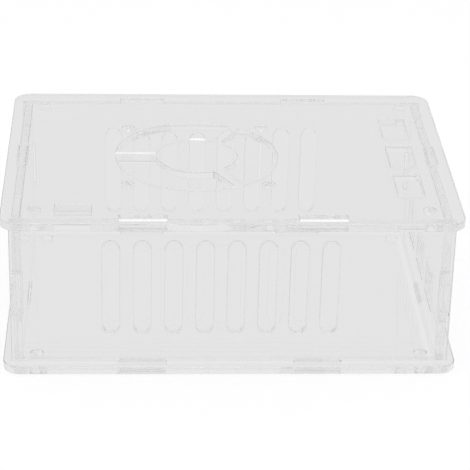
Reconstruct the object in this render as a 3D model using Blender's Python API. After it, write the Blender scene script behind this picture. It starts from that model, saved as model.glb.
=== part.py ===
"""Clear acrylic case for an amplifier board, laser cut from one thickness of sheet.

Six flat panels hold each other by tabs in slots. The top and bottom plates overhang
the four walls. The front and back walls are one and the same panel with a row of
cooling slots, the back one tipped over. The top plate has a fan grille and openings
over the terminals, and the right wall lets the wires in.

The origin is on the middle of the underside. +X runs to the right along the case,
+Y runs from the front wall to the back wall and +Z is up.
"""

import bmesh
import bpy
from math import asin, cos, pi, radians, sin, sqrt
from mathutils import Matrix, Vector

MM = 0.001

# Sheet
SHEET = 3.0 * MM
FIT = 0.3 * MM

# Outer size of the case
CASE_LENGTH = 160.0 * MM
CASE_DEPTH = 115.0 * MM
CASE_HEIGHT = 59.0 * MM
CORNER_RADIUS = 6.0 * MM

# How far the plates overhang the outer faces of the walls
FRONT_OVERHANG = 4.0 * MM
SIDE_OVERHANG = 4.0 * MM

# How far the front and back walls run on past the side walls
WALL_RUN_ON = 1.0 * MM

# Tabs on the top and bottom edges of the walls, two on the long walls and one on the
# side walls, and the finger of a side wall that goes through the long wall at each corner
TAB_WIDTH = 16.0 * MM
LONG_WALL_TAB_COUNT = 2
LONG_WALL_TAB_PITCH = 62.0 * MM
SIDE_WALL_TAB_COUNT = 1
FINGER_HEIGHT = 16.0 * MM

# Cooling slots in the front and back walls
VENT_COUNT = 8
VENT_PITCH = 10.9 * MM
VENT_WIDTH = 6.0 * MM
VENT_SILL = 14.1 * MM
VENT_HEAD = 9.4 * MM
VENT_OFFSET = -3.9 * MM

# Fan grille in the top plate. The land between its opening and the screw holes puts the
# holes 50 mm apart, as on a 60 mm fan.
FAN_OFFSET = -11.3 * MM
FAN_OPENING = 59.0 * MM
FAN_HUB = 30.0 * MM
FAN_SPOKE = 4.6 * MM
FAN_SPOKES = 3
FAN_SPOKE_TURN = radians(180.0)
FAN_SCREW_HOLE = 4.4 * MM
FAN_SCREW_LAND = 3.655 * MM

# Corner holes for the long screws, in the top and bottom plates
CORNER_HOLE = 4.4 * MM
CORNER_HOLE_INSET = 11.6 * MM

# Openings over the terminals, and the wire openings beside them in the right wall
TERMINAL_COUNT = 3
TERMINAL_PITCH = 25.4 * MM
TERMINAL_LENGTH = 18.0 * MM
TERMINAL_WIDTH = 9.4 * MM
TERMINAL_INSET = 16.5 * MM
WIRE_SILL = 12.8 * MM
WIRE_HEIGHT = 14.0 * MM

# Small opening in the top plate behind the front wall
SWITCH_LENGTH = 12.6 * MM
SWITCH_WIDTH = 7.0 * MM
SWITCH_INSET = 24.9 * MM

# Facets
CORNER_STEPS = 10
HOLE_STEPS = 40
VENT_END_STEPS = 14
FAN_STEPS = 40

ACRYLIC_COLOUR = (0.93, 0.95, 0.95, 1.0)
ACRYLIC_ROUGHNESS = 0.04
ACRYLIC_IOR = 1.49

# Worked out from the sizes above
LONG_WALL_LENGTH = CASE_LENGTH - 2.0 * SIDE_OVERHANG + 2.0 * WALL_RUN_ON
INNER_DEPTH = CASE_DEPTH - 2.0 * FRONT_OVERHANG - 2.0 * SHEET
SIDE_WALL_TAB_PITCH = INNER_DEPTH / SIDE_WALL_TAB_COUNT
WALL_FOOT = SHEET + FIT
WALL_HEAD = CASE_HEIGHT - WALL_FOOT
TAB_REACH = FIT + SHEET
SLOT_ACROSS = SHEET + 2.0 * FIT
SLOT_ALONG = TAB_WIDTH + 2.0 * FIT
FRONT_WALL_Y = CASE_DEPTH / 2.0 - FRONT_OVERHANG - SHEET / 2.0
SIDE_WALL_X = CASE_LENGTH / 2.0 - SIDE_OVERHANG - SHEET / 2.0
HOLE_X = CASE_LENGTH / 2.0 - CORNER_HOLE_INSET
HOLE_Y = CASE_DEPTH / 2.0 - CORNER_HOLE_INSET
FAN_SCREW_PITCH = (FAN_OPENING + 2.0 * FAN_SCREW_LAND + FAN_SCREW_HOLE) / sqrt(2.0)


def row(count, pitch):
    """Evenly spaced places about the middle."""
    return [(place - (count - 1) / 2.0) * pitch for place in range(count)]


def arc(centre, radius, start, end, steps):
    """Points on an arc, both ends included."""
    turns = [start + (end - start) * step / steps for step in range(steps + 1)]
    return [(centre[0] + radius * cos(turn), centre[1] + radius * sin(turn)) for turn in turns]


def circle(centre, diameter):
    return arc(centre, diameter / 2.0, 0.0, 2.0 * pi, HOLE_STEPS)[:-1]


def rectangle(centre, width, height):
    half_w = width / 2.0
    half_h = height / 2.0
    signs = ((-1, -1), (1, -1), (1, 1), (-1, 1))
    return [(centre[0] + sx * half_w, centre[1] + sy * half_h) for sx, sy in signs]


def rounded_rectangle(width, height, radius):
    """A rectangle about the origin with round corners."""
    reach_x = width / 2.0 - radius
    reach_y = height / 2.0 - radius
    corners = ((1, 1), (-1, 1), (-1, -1), (1, -1))
    points = []
    for quarter, (sx, sy) in enumerate(corners):
        start = quarter * pi / 2.0
        points += arc((sx * reach_x, sy * reach_y), radius, start, start + pi / 2.0, CORNER_STEPS)
    return points


def round_slot(centre, width, bottom, top):
    """An upright slot with half-round ends."""
    radius = width / 2.0
    upper = arc((centre, top - radius), radius, 0.0, pi, VENT_END_STEPS)
    lower = arc((centre, bottom + radius), radius, pi, 2.0 * pi, VENT_END_STEPS)
    return upper + lower


def grille_window(centre, start, end):
    """One opening of the fan grille, between two parallel-sided spokes."""
    outer = FAN_OPENING / 2.0
    inner = FAN_HUB / 2.0
    outer_cut = asin(FAN_SPOKE / 2.0 / outer)
    inner_cut = asin(FAN_SPOKE / 2.0 / inner)
    rim = arc(centre, outer, start + outer_cut, end - outer_cut, FAN_STEPS)
    hub = arc(centre, inner, end - inner_cut, start + inner_cut, FAN_STEPS // 2)
    return rim + hub


def toothed_side(start, end, teeth):
    """Points from start up to end, with teeth on the right of the way walked.

    Each tooth is (centre, width, reach), measured along the side from its middle.
    """
    begin = Vector(start)
    way = Vector(end) - begin
    middle = way.length / 2.0
    way.normalize()
    out = Vector((way.y, -way.x))
    points = [begin]
    for centre, width, reach in sorted(teeth):
        near = begin + way * (middle + centre - width / 2.0)
        far = begin + way * (middle + centre + width / 2.0)
        points += [near, near + out * reach, far + out * reach, far]
    return [tuple(point) for point in points]


def wall_outline(length, tab_places, fingers):
    """Outline of a wall, with tabs on its foot and head and these fingers on its ends."""
    half = length / 2.0
    corners = ((-half, WALL_FOOT), (half, WALL_FOOT), (half, WALL_HEAD), (-half, WALL_HEAD))
    tabs = [(place, TAB_WIDTH, TAB_REACH) for place in tab_places]
    points = []
    for number, teeth in enumerate((tabs, fingers, tabs, fingers)):
        points += toothed_side(corners[number], corners[(number + 1) % 4], teeth)
    return points


def long_outline():
    """The front and back walls."""
    return wall_outline(LONG_WALL_LENGTH, row(LONG_WALL_TAB_COUNT, LONG_WALL_TAB_PITCH), [])


def side_outline():
    """The side walls, which stand between the front and back walls."""
    finger = (0.0, FINGER_HEIGHT, TAB_REACH)
    tab_places = row(SIDE_WALL_TAB_COUNT, SIDE_WALL_TAB_PITCH)
    return wall_outline(INNER_DEPTH - 2.0 * FIT, tab_places, [finger])


def finger_slots():
    """Slots at the ends of the front and back walls for the side walls' fingers."""
    height = FINGER_HEIGHT + 2.0 * FIT
    middle = CASE_HEIGHT / 2.0
    return [rectangle((side * SIDE_WALL_X, middle), SLOT_ACROSS, height) for side in (-1, 1)]


def vents():
    top = CASE_HEIGHT - VENT_HEAD
    places = row(VENT_COUNT, VENT_PITCH)
    return [round_slot(VENT_OFFSET + place, VENT_WIDTH, VENT_SILL, top) for place in places]


def wire_openings():
    """Openings in the right wall, in line with the terminals. Across the wall is +Y."""
    centre_z = WIRE_SILL + WIRE_HEIGHT / 2.0
    places = row(TERMINAL_COUNT, TERMINAL_PITCH)
    return [rectangle((place, centre_z), TERMINAL_LENGTH, WIRE_HEIGHT) for place in places]


def plate_openings():
    """What both plates share: corner holes and the slots that take the walls' tabs."""
    holes = [circle((sx * HOLE_X, sy * HOLE_Y), CORNER_HOLE) for sx in (-1, 1) for sy in (-1, 1)]
    for side in (-1, 1):
        for place in row(LONG_WALL_TAB_COUNT, LONG_WALL_TAB_PITCH):
            holes.append(rectangle((place, side * FRONT_WALL_Y), SLOT_ALONG, SLOT_ACROSS))
        for place in row(SIDE_WALL_TAB_COUNT, SIDE_WALL_TAB_PITCH):
            holes.append(rectangle((side * SIDE_WALL_X, place), SLOT_ACROSS, SLOT_ALONG))
    return holes


def fan_openings():
    """The grille's windows between its spokes, and the fan's four screw holes."""
    centre = (FAN_OFFSET, 0.0)
    step = 2.0 * pi / FAN_SPOKES
    starts = [FAN_SPOKE_TURN + number * step for number in range(FAN_SPOKES)]
    windows = [grille_window(centre, start, start + step) for start in starts]
    reach = FAN_SCREW_PITCH / 2.0
    screws = [(FAN_OFFSET + sx * reach, sy * reach) for sx in (-1, 1) for sy in (-1, 1)]
    return windows + [circle(screw, FAN_SCREW_HOLE) for screw in screws]


def terminal_openings():
    across = CASE_LENGTH / 2.0 - TERMINAL_INSET
    places = row(TERMINAL_COUNT, TERMINAL_PITCH)
    return [rectangle((across, place), TERMINAL_WIDTH, TERMINAL_LENGTH) for place in places]


def switch_opening():
    centre = (SWITCH_INSET - CASE_LENGTH / 2.0, -HOLE_Y)
    return rectangle(centre, SWITCH_LENGTH, SWITCH_WIDTH)


def acrylic(name):
    """Clear acrylic sheet."""
    material = bpy.data.materials.new(name)
    material.use_nodes = True
    shader = material.node_tree.nodes["Principled BSDF"]
    shader.inputs["Base Color"].default_value = ACRYLIC_COLOUR
    shader.inputs["Metallic"].default_value = 0.0
    shader.inputs["Roughness"].default_value = ACRYLIC_ROUGHNESS
    shader.inputs["IOR"].default_value = ACRYLIC_IOR
    shader.inputs["Transmission Weight"].default_value = 1.0
    material.diffuse_color = ACRYLIC_COLOUR
    return material


def cut_sheet(name, outline, holes, collection, place):
    """Cut one panel from sheet. Its outline lies in the local XY plane, at mid thickness."""
    curve = bpy.data.curves.new(name + "_outline", "CURVE")
    curve.dimensions = "2D"
    curve.fill_mode = "BOTH"
    curve.extrude = SHEET / 2.0
    for loop in [outline] + holes:
        spline = curve.splines.new("POLY")
        spline.points.add(len(loop) - 1)
        spline.use_cyclic_u = True
        for point, (along, across) in zip(spline.points, loop):
            point.co = (along, across, 0.0, 1.0)
    drawn = bpy.data.objects.new(name + "_outline", curve)
    drawn.matrix_world = place
    collection.objects.link(drawn)
    bpy.context.view_layer.update()

    evaluated = drawn.evaluated_get(bpy.context.evaluated_depsgraph_get())
    mesh = bpy.data.meshes.new_from_object(evaluated)
    mesh.name = name
    panel = bpy.data.objects.new(name, mesh)
    panel.matrix_world = drawn.matrix_world
    collection.objects.link(panel)
    bpy.data.objects.remove(drawn)
    bpy.data.curves.remove(curve)

    skin = bmesh.new()
    skin.from_mesh(mesh)
    bmesh.ops.remove_doubles(skin, verts=skin.verts, dist=1e-6)
    bmesh.ops.recalc_face_normals(skin, faces=skin.faces)
    skin.to_mesh(mesh)
    skin.free()
    mesh.shade_smooth()
    mesh.set_sharp_from_angle(angle=radians(30.0))
    mesh.materials.clear()
    mesh.materials.append(acrylic(name + "_acrylic"))
    return panel


def build():
    for old in list(bpy.data.objects):
        bpy.data.objects.remove(old)
    case = bpy.data.collections.new("amplifier_case")
    bpy.context.scene.collection.children.link(case)

    upright = Matrix.Rotation(pi / 2.0, 4, "X")
    sideways = Matrix.Rotation(pi / 2.0, 4, "Z") @ upright
    plate = rounded_rectangle(CASE_LENGTH, CASE_DEPTH, CORNER_RADIUS)
    plate_top = plate_openings() + fan_openings() + terminal_openings() + [switch_opening()]
    low = Matrix.Translation((0.0, 0.0, SHEET / 2.0))
    high = Matrix.Translation((0.0, 0.0, CASE_HEIGHT - SHEET / 2.0))
    front = Matrix.Translation((0.0, -FRONT_WALL_Y, 0.0)) @ upright
    tipped_over = Matrix.Rotation(-pi / 2.0, 4, "X")
    back = Matrix.Translation((0.0, FRONT_WALL_Y, CASE_HEIGHT)) @ tipped_over
    left = Matrix.Translation((-SIDE_WALL_X, 0.0, 0.0)) @ sideways
    right = Matrix.Translation((SIDE_WALL_X, 0.0, 0.0)) @ sideways

    cut_sheet("bottom_plate", plate, plate_openings(), case, low)
    cut_sheet("front_wall", long_outline(), vents() + finger_slots(), case, front)
    cut_sheet("back_wall", long_outline(), vents() + finger_slots(), case, back)
    cut_sheet("left_wall", side_outline(), [], case, left)
    cut_sheet("right_wall", side_outline(), wire_openings(), case, right)
    cut_sheet("top_plate", plate, plate_top, case, high)


build()
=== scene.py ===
"""Looks for a clear acrylic amplifier case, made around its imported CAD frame.

Each panel becomes one piece of clear sheet with a fine break on every laser-cut edge.
The studio stands round it: a white floor, pale surroundings, one soft lamp and the camera.
"""

import bmesh
import bpy
from bpy.props import FloatProperty, FloatVectorProperty, PointerProperty
from math import radians
from mathutils import Matrix, Vector


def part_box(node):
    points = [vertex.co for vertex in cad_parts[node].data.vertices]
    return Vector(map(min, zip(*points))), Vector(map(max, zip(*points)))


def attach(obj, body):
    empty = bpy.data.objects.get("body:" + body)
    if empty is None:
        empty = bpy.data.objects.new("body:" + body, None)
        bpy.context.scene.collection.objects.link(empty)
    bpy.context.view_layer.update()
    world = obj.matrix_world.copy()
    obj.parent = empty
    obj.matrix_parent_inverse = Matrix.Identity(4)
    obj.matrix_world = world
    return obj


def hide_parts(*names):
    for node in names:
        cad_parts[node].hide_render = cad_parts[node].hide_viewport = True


bl_info = {
    "name": "Clear Acrylic Case",
    "version": (1, 0, 0),
    "blender": (4, 5, 0),
    "location": "View3D > Sidebar > Acrylic Case",
    "description": "Clear sheet panels with laser-cut edges, and the studio round them",
    "category": "Object",
}

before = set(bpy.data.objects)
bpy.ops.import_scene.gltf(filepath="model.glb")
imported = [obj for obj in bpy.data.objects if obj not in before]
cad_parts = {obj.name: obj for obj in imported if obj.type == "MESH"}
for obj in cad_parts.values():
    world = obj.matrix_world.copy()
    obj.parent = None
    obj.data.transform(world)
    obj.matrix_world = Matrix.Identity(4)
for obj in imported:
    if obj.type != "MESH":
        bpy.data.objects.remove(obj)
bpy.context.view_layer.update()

MM = 0.001
PLATES = ("bottom_plate", "top_plate")
LONG_WALLS = ("front_wall", "back_wall")
SIDE_WALLS = ("left_wall", "right_wall")

# A panel's materials, in the order of its mesh
FACE, CUT_EDGE, EDGE_BREAK = range(3)

# Corners of a CAD node closer than this are one corner
MERGE = 0.002 * MM
# A facet that looks outwards more squarely than this is part of the polished face
FLAT = 0.9
SHARP_EDGE = radians(30.0)

# Faint waves of cast sheet on the polished faces
WAVE_SCALE = 45.0
WAVE_DEPTH = 0.02 * MM
# Fine lines that the laser leaves on a cut edge, drawn out through the thickness
LINE_SCALE = 1400.0
LINE_STRETCH = 0.04
LINE_DEPTH = 0.01 * MM
BUMP_STRENGTH = 0.2
ABSORBED = (0.5, 0.5, 0.5)

FLOOR_REACH = 3.0
FLOOR_DROP = 0.3 * MM
FLOOR_COLOUR = (0.9, 0.9, 0.9)
FLOOR_ROUGHNESS = 0.9
# Share of plain colour in the floor that the camera sees. The lamp lights the rest, so
# that the floor keeps the case's faint shadow.
PLAIN_SHARE = 0.85
# How far the floor mirrored inside the case turns from white to the sheet's grey
GREY_SHARE = 0.6

# Patches of the floor in millimetres: low side, high side and softness, along X and Y
# Painted shadow: a grey patch painted on the floor behind the case, seen through the fan
# windows and the back wall's slots
PAINTED_SHADOW = ((-62.0, 48.0, 22.0), (0.0, 178.0, 17.0))
# Painted light: two bright strips painted on the floor in front, which the cut edges show as
# painted glints
NEAR_LIGHT = ((-70.0, 25.0, 8.0), (-125.0, -103.0, 1.5))
FAR_LIGHT = ((-45.0, 75.0, 8.0), (-220.0, -168.0, 3.0))
# Painted light: a bright strip painted on the floor beside the right wall
BESIDE_RIGHT_WALL = ((70.6, 72.4, 0.7), (-50.0, 50.0, 2.0))
# Painted light: a lighter strip painted on the floor close behind the case, which the bottom
# plate's edges show
CLOSE_BEHIND = ((-75.0, 75.0, 10.0), (58.0, 64.0, 1.0))
# The near painted light strip shows to rays through this many surfaces, or from further than
# this
NEAR_LIGHT_SURFACES = 2.5
NEAR_LIGHT_WAY = 0.1
# Painted light on the floor under both long walls, in place of light that they guide down,
# measured the same way from the middle of the case
FOOT_ALONG = (-77.0, 77.0, 1.0)
FOOT_ACROSS = (51.7, 53.1, 0.6)
FOOT_TAB = (22.8, 39.2, 0.5)
FOOT_SHIFT = 0.7 * MM

# The lighter backdrop begins and is complete where the way there leans this far to +Y
BACKDROP_START = 0.5
BACKDROP_FULL = 0.9

KEY_PLACE = (0.0, -0.5, 1.3)
KEY_TARGET = (0.0, 0.0, 0.03)
KEY_SIZE = 1.3

SENSOR_WIDTH = 36.0
CLIP_START = 0.01
# Light takes many turns inside the sheets before it comes out
BOUNCES = 128
SHADOW_BOUNCES = 32


class SheetSettings(bpy.types.PropertyGroup):
    """The clear sheet and its laser-cut edges."""

    edge_break: FloatProperty(
        name="Edge break",
        description="Width of the fine bevel round every cut edge",
        default=0.2 * MM,
        min=0.02 * MM,
        max=1.0 * MM,
        precision=5,
        unit="LENGTH",
    )
    face_colour: FloatVectorProperty(
        name="Sheet colour",
        description="What the polished face of the sheet lets through",
        default=(0.985, 0.985, 0.985),
        min=0.0,
        max=1.0,
        subtype="COLOR",
    )
    cut_colour: FloatVectorProperty(
        name="Cut edge colour",
        description="What a laser-cut edge lets through",
        default=(0.975, 0.975, 0.975),
        min=0.0,
        max=1.0,
        subtype="COLOR",
    )
    cut_roughness: FloatProperty(
        name="Cut edge roughness",
        description="How much a laser-cut edge blurs what is behind it",
        default=0.06,
        min=0.0,
        max=1.0,
        subtype="FACTOR",
    )
    break_colour: FloatVectorProperty(
        name="Edge break colour",
        description="What the fine bevel lets through",
        default=(0.9, 0.9, 0.9),
        min=0.0,
        max=1.0,
        subtype="COLOR",
    )
    break_roughness: FloatProperty(
        name="Edge break roughness",
        description="How much the fine bevel blurs what is behind it",
        default=0.15,
        min=0.0,
        max=1.0,
        subtype="FACTOR",
    )
    absorption: FloatProperty(
        name="Absorption",
        description="How much light a long way through the sheet costs, which greys its edges",
        default=0.3,
        min=0.0,
        max=10.0,
    )
    ior: FloatProperty(
        name="Refractive index",
        description="Refractive index of the acrylic",
        default=1.49,
        min=1.0,
        max=2.0,
    )


class StudioSettings(bpy.types.PropertyGroup):
    """Floor, surroundings, lamp and camera."""

    white: FloatVectorProperty(
        name="Background",
        description="Colour of the floor and the surroundings in the picture",
        default=(1.0, 1.0, 1.0),
        min=0.0,
        max=1.0,
        subtype="COLOR",
    )
    seen_floor: FloatVectorProperty(
        name="Floor seen in the sheet",
        description="Pale grey that the clear sheet shows of the floor",
        default=(0.789, 0.789, 0.789),
        min=0.0,
        max=1.0,
        subtype="COLOR",
    )
    # Painted shadow: the pale grey painted on the floor close behind the case
    shade: FloatVectorProperty(
        name="Floor shade",
        description="Pale grey of the floor close behind the case",
        default=(0.74, 0.74, 0.74),
        min=0.0,
        max=1.0,
        subtype="COLOR",
    )
    seen_sky: FloatVectorProperty(
        name="Surroundings",
        description="Pale grey all round, seen in the clear sheet",
        default=(0.785, 0.785, 0.785),
        min=0.0,
        max=1.0,
        subtype="COLOR",
    )
    seen_backdrop: FloatVectorProperty(
        name="Backdrop",
        description="Lighter backdrop behind the case, seen in the clear sheet",
        default=(0.815, 0.815, 0.815),
        min=0.0,
        max=1.0,
        subtype="COLOR",
    )
    # Painted light: pale colour painted on the floor under the walls' feet, in place of light
    # that they guide down
    seen_foot: FloatVectorProperty(
        name="Foot light",
        description="Light that a wall guides down to the floor under its foot",
        default=(0.835, 0.835, 0.835),
        min=0.0,
        max=1.0,
        subtype="COLOR",
    )
    # Painted light: the lighter strip painted on the floor close behind the case
    seen_back_edge: FloatVectorProperty(
        name="Back edge light",
        description="Floor close behind, seen through the bottom plate's edges",
        default=(0.84, 0.84, 0.84),
        min=0.0,
        max=1.0,
        subtype="COLOR",
    )
    # Painted light: brightness of the strips painted on the floor in front, which make painted
    # glints in the cut edges
    glow: FloatProperty(
        name="Front light",
        description="Strength of the lit strips in front that the cut edges catch",
        default=1.15,
        min=0.0,
        max=4.0,
    )
    key_power: FloatProperty(
        name="Key lamp",
        description="Power of the soft lamp over the front",
        default=9.0,
        min=0.0,
        unit="POWER",
    )
    lens: FloatProperty(
        name="Focal length",
        description="Camera lens on a 36 mm sensor",
        default=157.08,
        min=1.0,
        unit="CAMERA",
    )
    eye: FloatVectorProperty(
        name="Camera place",
        description="Where the camera stands",
        default=(-0.034134, -0.682797, 0.364554),
        subtype="TRANSLATION",
        unit="LENGTH",
    )
    dip: FloatProperty(
        name="Camera dip",
        description="How far the camera looks down",
        default=radians(26.319),
        unit="ROTATION",
        subtype="ANGLE",
    )
    swing: FloatProperty(
        name="Camera swing",
        description="How far the camera looks to the right",
        default=radians(3.152),
        unit="ROTATION",
        subtype="ANGLE",
    )
    tilt: FloatProperty(
        name="Camera tilt",
        description="How far the camera leans to the right",
        default=radians(1.512),
        unit="ROTATION",
        subtype="ANGLE",
    )


def node(tree, kind, **values):
    """A shader node with its settings, and its inputs by name."""
    made = tree.nodes.new(kind)
    for key, value in values.pop("inputs", {}).items():
        made.inputs[key].default_value = value
    for key, value in values.items():
        setattr(made, key, value)
    return made


def colour(rgb):
    """A colour as a shader socket takes it."""
    return (*rgb, 1.0)


def maths(tree, operation, one, other=0.0):
    """Two numbers put together. The second is a socket or a plain number."""
    made = node(tree, "ShaderNodeMath", operation=operation)
    tree.links.new(one, made.inputs[0])
    if isinstance(other, float):
        made.inputs[1].default_value = other
    else:
        tree.links.new(other, made.inputs[1])
    return made.outputs["Value"]


def fade(tree, value, start, end):
    """A soft step: nothing at start, everything at end."""
    made = node(tree, "ShaderNodeMapRange", interpolation_type="SMOOTHSTEP", inputs={
        "From Min": start, "From Max": end, "To Min": 0.0, "To Max": 1.0,
    })
    tree.links.new(value, made.inputs["Value"])
    return made.outputs["Result"]


def strip(tree, value, sides):
    """A soft-edged strip, from its low side, high side and softness in millimetres."""
    low, high, soft = (side * MM for side in sides)
    middle, half = (low + high) / 2.0, (high - low) / 2.0
    away = maths(tree, "ABSOLUTE", maths(tree, "SUBTRACT", value, middle))
    return fade(tree, away, half + soft, half - soft)


def patch(tree, across, sides):
    """A soft-edged patch of the floor, from its sides along X and Y."""
    along_x, along_y = sides
    return maths(
        tree, "MULTIPLY",
        strip(tree, across.outputs["X"], along_x),
        strip(tree, across.outputs["Y"], along_y),
    )


def blend(tree, share, first, second):
    """One plain colour turning into another."""
    made = node(tree, "ShaderNodeMix", data_type="RGBA")
    tree.links.new(share, made.inputs[0])
    for socket, rgb in ((made.inputs[6], first), (made.inputs[7], second)):
        if isinstance(rgb, bpy.types.NodeSocket):
            tree.links.new(rgb, socket)
        else:
            socket.default_value = colour(rgb)
    return made.outputs[2]


def lets_lamps_through(tree, shader, tint):
    """Lamps shine through the sheet, so that it doesn't throw a solid shadow."""
    path = node(tree, "ShaderNodeLightPath")
    open_way = node(tree, "ShaderNodeBsdfTransparent", inputs={"Color": colour(tint)})
    mix = node(tree, "ShaderNodeMixShader")
    tree.links.new(path.outputs["Is Shadow Ray"], mix.inputs["Fac"])
    tree.links.new(shader.outputs["BSDF"], mix.inputs[1])
    tree.links.new(open_way.outputs["BSDF"], mix.inputs[2])
    tree.links.new(mix.outputs["Shader"], tree.nodes["Material Output"].inputs["Surface"])


def absorbs(tree, density):
    """The sheet takes a little light on a long way through it."""
    inside = node(tree, "ShaderNodeVolumeAbsorption", inputs={
        "Color": colour(ABSORBED), "Density": density,
    })
    tree.links.new(inside.outputs["Volume"], tree.nodes["Material Output"].inputs["Volume"])


def sheet_face(name, sheet):
    """Polished face of clear sheet, with the faint waves that cast sheet has."""
    material = bpy.data.materials.new(name)
    material.use_nodes = True
    tree = material.node_tree
    link = tree.links.new
    shader = tree.nodes["Principled BSDF"]
    shader.inputs["Base Color"].default_value = colour(sheet.face_colour)
    shader.inputs["Transmission Weight"].default_value = 1.0
    shader.inputs["IOR"].default_value = sheet.ior
    shader.inputs["Roughness"].default_value = 0.0
    place = node(tree, "ShaderNodeTexCoord")
    waves = node(tree, "ShaderNodeTexNoise", inputs={"Scale": WAVE_SCALE, "Detail": 1.0})
    bump = node(tree, "ShaderNodeBump", inputs={
        "Strength": BUMP_STRENGTH, "Distance": WAVE_DEPTH,
    })
    link(place.outputs["Object"], waves.inputs["Vector"])
    link(waves.outputs["Fac"], bump.inputs["Height"])
    link(bump.outputs["Normal"], shader.inputs["Normal"])
    lets_lamps_through(tree, shader, sheet.face_colour)
    absorbs(tree, sheet.absorption)
    return material


def sheet_edge(name, sheet, axis, tint, roughness):
    """Laser-cut edge: fine lines straight through the thickness, and a softer shine."""
    material = bpy.data.materials.new(name)
    material.use_nodes = True
    tree = material.node_tree
    link = tree.links.new
    shader = tree.nodes["Principled BSDF"]
    shader.inputs["Base Color"].default_value = colour(tint)
    shader.inputs["Transmission Weight"].default_value = 1.0
    shader.inputs["IOR"].default_value = sheet.ior
    along = [1.0, 1.0, 1.0]
    along[axis] = LINE_STRETCH
    place = node(tree, "ShaderNodeTexCoord")
    stretch = node(tree, "ShaderNodeMapping", inputs={"Scale": along})
    lines = node(tree, "ShaderNodeTexNoise", inputs={"Scale": LINE_SCALE, "Detail": 2.0})
    rough = node(tree, "ShaderNodeMapRange", inputs={
        "From Min": 0.3, "From Max": 0.7, "To Min": roughness * 0.7, "To Max": roughness * 1.3,
    })
    bump = node(tree, "ShaderNodeBump", inputs={
        "Strength": BUMP_STRENGTH, "Distance": LINE_DEPTH,
    })
    link(place.outputs["Object"], stretch.inputs["Vector"])
    link(stretch.outputs["Vector"], lines.inputs["Vector"])
    link(lines.outputs["Fac"], rough.inputs["Value"])
    link(rough.outputs["Result"], shader.inputs["Roughness"])
    link(lines.outputs["Fac"], bump.inputs["Height"])
    link(bump.outputs["Normal"], shader.inputs["Normal"])
    lets_lamps_through(tree, shader, tint)
    absorbs(tree, sheet.absorption)
    return material


def break_edges(panel, face, out, width):
    """A fine bevel all round one face of the panel, its holes and slots included."""
    ring = bmesh.ops.inset_region(
        panel, faces=face, thickness=width, use_even_offset=True, use_boundary=True
    )["faces"]
    flat = set(face)
    rim = {
        corner
        for part in ring
        for corner in part.verts
        if not flat.intersection(corner.link_faces)
    }
    inner = {
        edge for part in ring for edge in part.edges if flat.intersection(edge.link_faces)
    }
    bmesh.ops.translate(panel, verts=list(rim), vec=out * -width)
    # The flat inside the ring is filled afresh, because its long facets leave spikes
    bmesh.ops.delete(panel, geom=face, context="FACES")
    filled = bmesh.ops.triangle_fill(panel, edges=list(inner), use_beauty=True, normal=out)
    for part in ring:
        part.material_index = EDGE_BREAK
    for part in filled["geom"]:
        if isinstance(part, bmesh.types.BMFace):
            part.material_index = FACE


def make_panel(cad_name):
    """One panel of clear sheet, made from a merged copy of its CAD node."""
    sheet = bpy.context.scene.acrylic_sheet
    low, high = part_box(cad_name)
    size = high - low
    axis = min(range(3), key=lambda way: size[way])
    panel = bmesh.new()
    panel.from_mesh(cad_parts[cad_name].data)
    bmesh.ops.remove_doubles(panel, verts=panel.verts, dist=MERGE)
    for part in panel.faces:
        part.material_index = CUT_EDGE
    for side in (-1.0, 1.0):
        out = Vector((0.0, 0.0, 0.0))
        out[axis] = side
        face = [part for part in panel.faces if part.normal.dot(out) > FLAT]
        break_edges(panel, face, out, sheet.edge_break)
    bmesh.ops.recalc_face_normals(panel, faces=panel.faces)
    for part in panel.faces:
        part.smooth = abs(part.normal[axis]) < FLAT
    for edge in panel.edges:
        edge.smooth = edge.calc_face_angle() < SHARP_EDGE
    mesh = bpy.data.meshes.new("clear_" + cad_name)
    panel.to_mesh(mesh)
    panel.free()
    finishes = (
        ("_cut_edge", sheet.cut_colour, sheet.cut_roughness),
        ("_edge_break", sheet.break_colour, sheet.break_roughness),
    )
    mesh.materials.append(sheet_face(cad_name + "_face", sheet))
    for finish, tint, roughness in finishes:
        mesh.materials.append(sheet_edge(cad_name + finish, sheet, axis, tint, roughness))
    piece = bpy.data.objects.new("clear_" + cad_name, mesh)
    bpy.context.scene.collection.objects.link(piece)
    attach(piece, "root")
    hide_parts(cad_name)


class CASE_OT_plates(bpy.types.Operator):
    """Make the top and bottom plates"""

    bl_idname = "acrylic_case.plates"
    bl_label = "Top and Bottom Plates"

    def execute(self, context):
        for cad_name in PLATES:
            make_panel(cad_name)
        return {"FINISHED"}


class CASE_OT_long_walls(bpy.types.Operator):
    """Make the front and back walls with their cooling slots"""

    bl_idname = "acrylic_case.long_walls"
    bl_label = "Front and Back Walls"

    def execute(self, context):
        for cad_name in LONG_WALLS:
            make_panel(cad_name)
        return {"FINISHED"}


class CASE_OT_side_walls(bpy.types.Operator):
    """Make the left and right walls"""

    bl_idname = "acrylic_case.side_walls"
    bl_label = "Side Walls"

    def execute(self, context):
        for cad_name in SIDE_WALLS:
            make_panel(cad_name)
        return {"FINISHED"}


def front_lights(tree, across, path):
    """Two painted light strips on the floor in front, which make painted glints in the cut
    edges.

    The near one is kept out of what the front wall mirrors.
    """
    deep = maths(
        tree, "GREATER_THAN", path.outputs["Transmission Depth"], NEAR_LIGHT_SURFACES
    )
    far_off = maths(tree, "GREATER_THAN", path.outputs["Ray Length"], NEAR_LIGHT_WAY)
    shows = maths(tree, "MAXIMUM", deep, far_off)
    near_light = maths(tree, "MULTIPLY", patch(tree, across, NEAR_LIGHT), shows)
    return maths(tree, "MAXIMUM", near_light, patch(tree, across, FAR_LIGHT))


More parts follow.
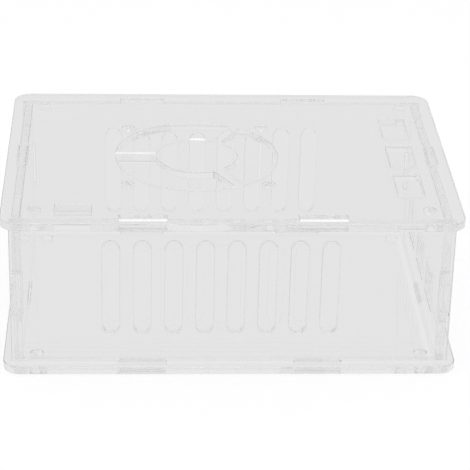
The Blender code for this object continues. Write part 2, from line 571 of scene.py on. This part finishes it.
def foot_lights(tree, across):
    """Painted light on the floor, in place of light that the long walls guide down between
    their tabs, and a painted light strip beside the right wall.
    """
    off_middle = maths(tree, "ABSOLUTE", across.outputs["X"])
    shifted = maths(tree, "SUBTRACT", across.outputs["Y"], FOOT_SHIFT)
    under_wall = strip(tree, maths(tree, "ABSOLUTE", shifted), FOOT_ACROSS)
    between_tabs = maths(
        tree, "SUBTRACT",
        strip(tree, off_middle, FOOT_ALONG),
        strip(tree, off_middle, FOOT_TAB),
    )
    long_walls = maths(tree, "MULTIPLY", under_wall, between_tabs)
    return maths(tree, "MAXIMUM", long_walls, patch(tree, across, BESIDE_RIGHT_WALL))


def floor_in_sheet(tree, across, path, studio):
    """The floor as the clear sheet shows it: pale grey, with painted light strips that make
    painted glints in the sheet.
    """
    caught = maths(tree, "GREATER_THAN", path.outputs["Glossy Depth"], 0.5)
    # Painted light: the strips in front show only in mirrored light inside the sheet, as
    # painted glints
    front = maths(tree, "MULTIPLY", front_lights(tree, across, path), caught)
    # Painted light: the lighter strip close behind shows only in mirrored light inside the
    # sheet
    behind = maths(tree, "MULTIPLY", patch(tree, across, CLOSE_BEHIND), caught)
    shown = blend(tree, front, studio.seen_floor, [studio.glow] * 3)
    # Painted light under the walls' feet, seen in the sheet
    shown = blend(tree, foot_lights(tree, across), shown, studio.seen_foot)
    return blend(tree, behind, shown, studio.seen_back_edge)


def floor_finish(studio):
    """White to the camera with a painted shadow behind the case, pale grey in the clear sheet
    with painted light strips, and matt under the lamp.
    """
    material = bpy.data.materials.new("floor")
    material.use_nodes = True
    tree = material.node_tree
    link = tree.links.new
    lit = tree.nodes["Principled BSDF"]
    lit.inputs["Base Color"].default_value = colour(FLOOR_COLOUR)
    lit.inputs["Roughness"].default_value = FLOOR_ROUGHNESS
    lit.inputs["Specular IOR Level"].default_value = 0.0
    place = node(tree, "ShaderNodeTexCoord")
    across = node(tree, "ShaderNodeSeparateXYZ")
    path = node(tree, "ShaderNodeLightPath")
    link(place.outputs["Object"], across.inputs["Vector"])
    by_camera = path.outputs["Is Camera Ray"]

    # A painted shadow: soft grey painted on the floor behind the case. The camera sees it
    # through the fan windows and the back wall's slots.
    in_picture = blend(tree, patch(tree, across, PAINTED_SHADOW), studio.white, studio.shade)
    inside = maths(tree, "GREATER_THAN", path.outputs["Transmission Depth"], 0.5)
    greyed = maths(tree, "MULTIPLY", inside, GREY_SHARE)
    mirrored = blend(tree, greyed, studio.white, studio.seen_floor)
    in_sheet = floor_in_sheet(tree, across, path, studio)
    shown = blend(tree, path.outputs["Is Transmission Ray"], mirrored, in_sheet)
    shown = blend(tree, by_camera, shown, in_picture)
    glowing = node(tree, "ShaderNodeEmission")
    link(shown, glowing.inputs["Color"])

    plain = maths(tree, "MULTIPLY", by_camera, PLAIN_SHARE)
    plain = maths(tree, "MAXIMUM", plain, path.outputs["Is Glossy Ray"])
    plain = maths(tree, "MAXIMUM", plain, path.outputs["Is Transmission Ray"])
    mix = node(tree, "ShaderNodeMixShader")
    link(plain, mix.inputs["Fac"])
    link(lit.outputs["BSDF"], mix.inputs[1])
    link(glowing.outputs["Emission"], mix.inputs[2])
    link(mix.outputs["Shader"], tree.nodes["Material Output"].inputs["Surface"])
    return material


def make_floor(studio):
    """A white floor just under the case."""
    floor = bmesh.new()
    bmesh.ops.create_grid(floor, x_segments=1, y_segments=1, size=FLOOR_REACH)
    bmesh.ops.translate(floor, verts=floor.verts, vec=(0.0, 0.0, -FLOOR_DROP))
    mesh = bpy.data.meshes.new("floor")
    floor.to_mesh(mesh)
    floor.free()
    mesh.materials.append(floor_finish(studio))
    stage = bpy.data.objects.new("floor", mesh)
    bpy.context.scene.collection.objects.link(stage)


def make_surroundings(studio):
    """White to the camera, and soft pale grey in the clear sheet, lighter behind."""
    world = bpy.data.worlds.new("studio")
    bpy.context.scene.world = world
    world.use_nodes = True
    tree = world.node_tree
    sky = tree.nodes["Background"]
    place = node(tree, "ShaderNodeTexCoord")
    towards = node(tree, "ShaderNodeSeparateXYZ")
    path = node(tree, "ShaderNodeLightPath")
    tree.links.new(place.outputs["Generated"], towards.inputs["Vector"])
    behind = fade(tree, towards.outputs["Y"], BACKDROP_START, BACKDROP_FULL)
    grey = blend(tree, behind, studio.seen_sky, studio.seen_backdrop)
    shown = blend(tree, path.outputs["Is Camera Ray"], grey, studio.white)
    tree.links.new(shown, sky.inputs["Color"])


def make_lamp(studio):
    """A large soft lamp over the front. Rays through the sheet don't show it."""
    lamp = bpy.data.lights.new("key", "AREA")
    lamp.shape = "DISK"
    lamp.size = KEY_SIZE
    lamp.energy = studio.key_power
    holder = bpy.data.objects.new("key", lamp)
    way = Vector(KEY_TARGET) - Vector(KEY_PLACE)
    holder.location = KEY_PLACE
    holder.rotation_euler = way.to_track_quat("-Z", "Y").to_euler()
    holder.visible_transmission = False
    bpy.context.scene.collection.objects.link(holder)


def make_camera(studio):
    """The camera, standing where the photograph was taken from."""
    camera = bpy.data.cameras.new("camera")
    camera.sensor_width = SENSOR_WIDTH
    camera.lens = studio.lens
    camera.clip_start = CLIP_START
    holder = bpy.data.objects.new("camera", camera)
    look_down = Matrix.Rotation(radians(90.0) - studio.dip, 4, "X")
    turn = Matrix.Rotation(-studio.swing, 4, "Z")
    lean = Matrix.Rotation(studio.tilt, 4, "Z")
    holder.matrix_world = Matrix.Translation(studio.eye) @ turn @ look_down @ lean
    bpy.context.scene.collection.objects.link(holder)
    bpy.context.scene.camera = holder


class CASE_OT_studio(bpy.types.Operator):
    """Make the floor, the surroundings, the lamp and the camera"""

    bl_idname = "acrylic_case.studio"
    bl_label = "Studio"

    def execute(self, context):
        studio = context.scene.acrylic_studio
        make_floor(studio)
        make_surroundings(studio)
        make_lamp(studio)
        make_camera(studio)
        context.scene.view_settings.view_transform = "Standard"
        context.scene.cycles.max_bounces = BOUNCES
        context.scene.cycles.transmission_bounces = BOUNCES
        context.scene.cycles.glossy_bounces = BOUNCES
        context.scene.cycles.transparent_max_bounces = SHADOW_BOUNCES
        return {"FINISHED"}


class CASE_PT_panel(bpy.types.Panel):
    """The case's settings and its steps, in the 3D view's sidebar"""

    bl_idname = "CASE_PT_panel"
    bl_label = "Acrylic Case"
    bl_space_type = "VIEW_3D"
    bl_region_type = "UI"
    bl_category = "Acrylic Case"

    def draw(self, context):
        layout = self.layout
        for settings in (context.scene.acrylic_sheet, context.scene.acrylic_studio):
            for key in settings.bl_rna.properties.keys():
                if key not in {"rna_type", "name"}:
                    layout.prop(settings, key)
        for operator in OPERATORS:
            layout.operator(operator.bl_idname)


OPERATORS = (CASE_OT_plates, CASE_OT_long_walls, CASE_OT_side_walls, CASE_OT_studio)
CLASSES = (SheetSettings, StudioSettings, *OPERATORS, CASE_PT_panel)


def register():
    for kind in CLASSES:
        bpy.utils.register_class(kind)
    bpy.types.Scene.acrylic_sheet = PointerProperty(type=SheetSettings)
    bpy.types.Scene.acrylic_studio = PointerProperty(type=StudioSettings)


def unregister():
    del bpy.types.Scene.acrylic_studio
    del bpy.types.Scene.acrylic_sheet
    for kind in reversed(CLASSES):
        bpy.utils.unregister_class(kind)


def main():
    register()
    bpy.ops.acrylic_case.plates()
    bpy.ops.acrylic_case.long_walls()
    bpy.ops.acrylic_case.side_walls()
    bpy.ops.acrylic_case.studio()


if __name__ == "__main__":
    main()
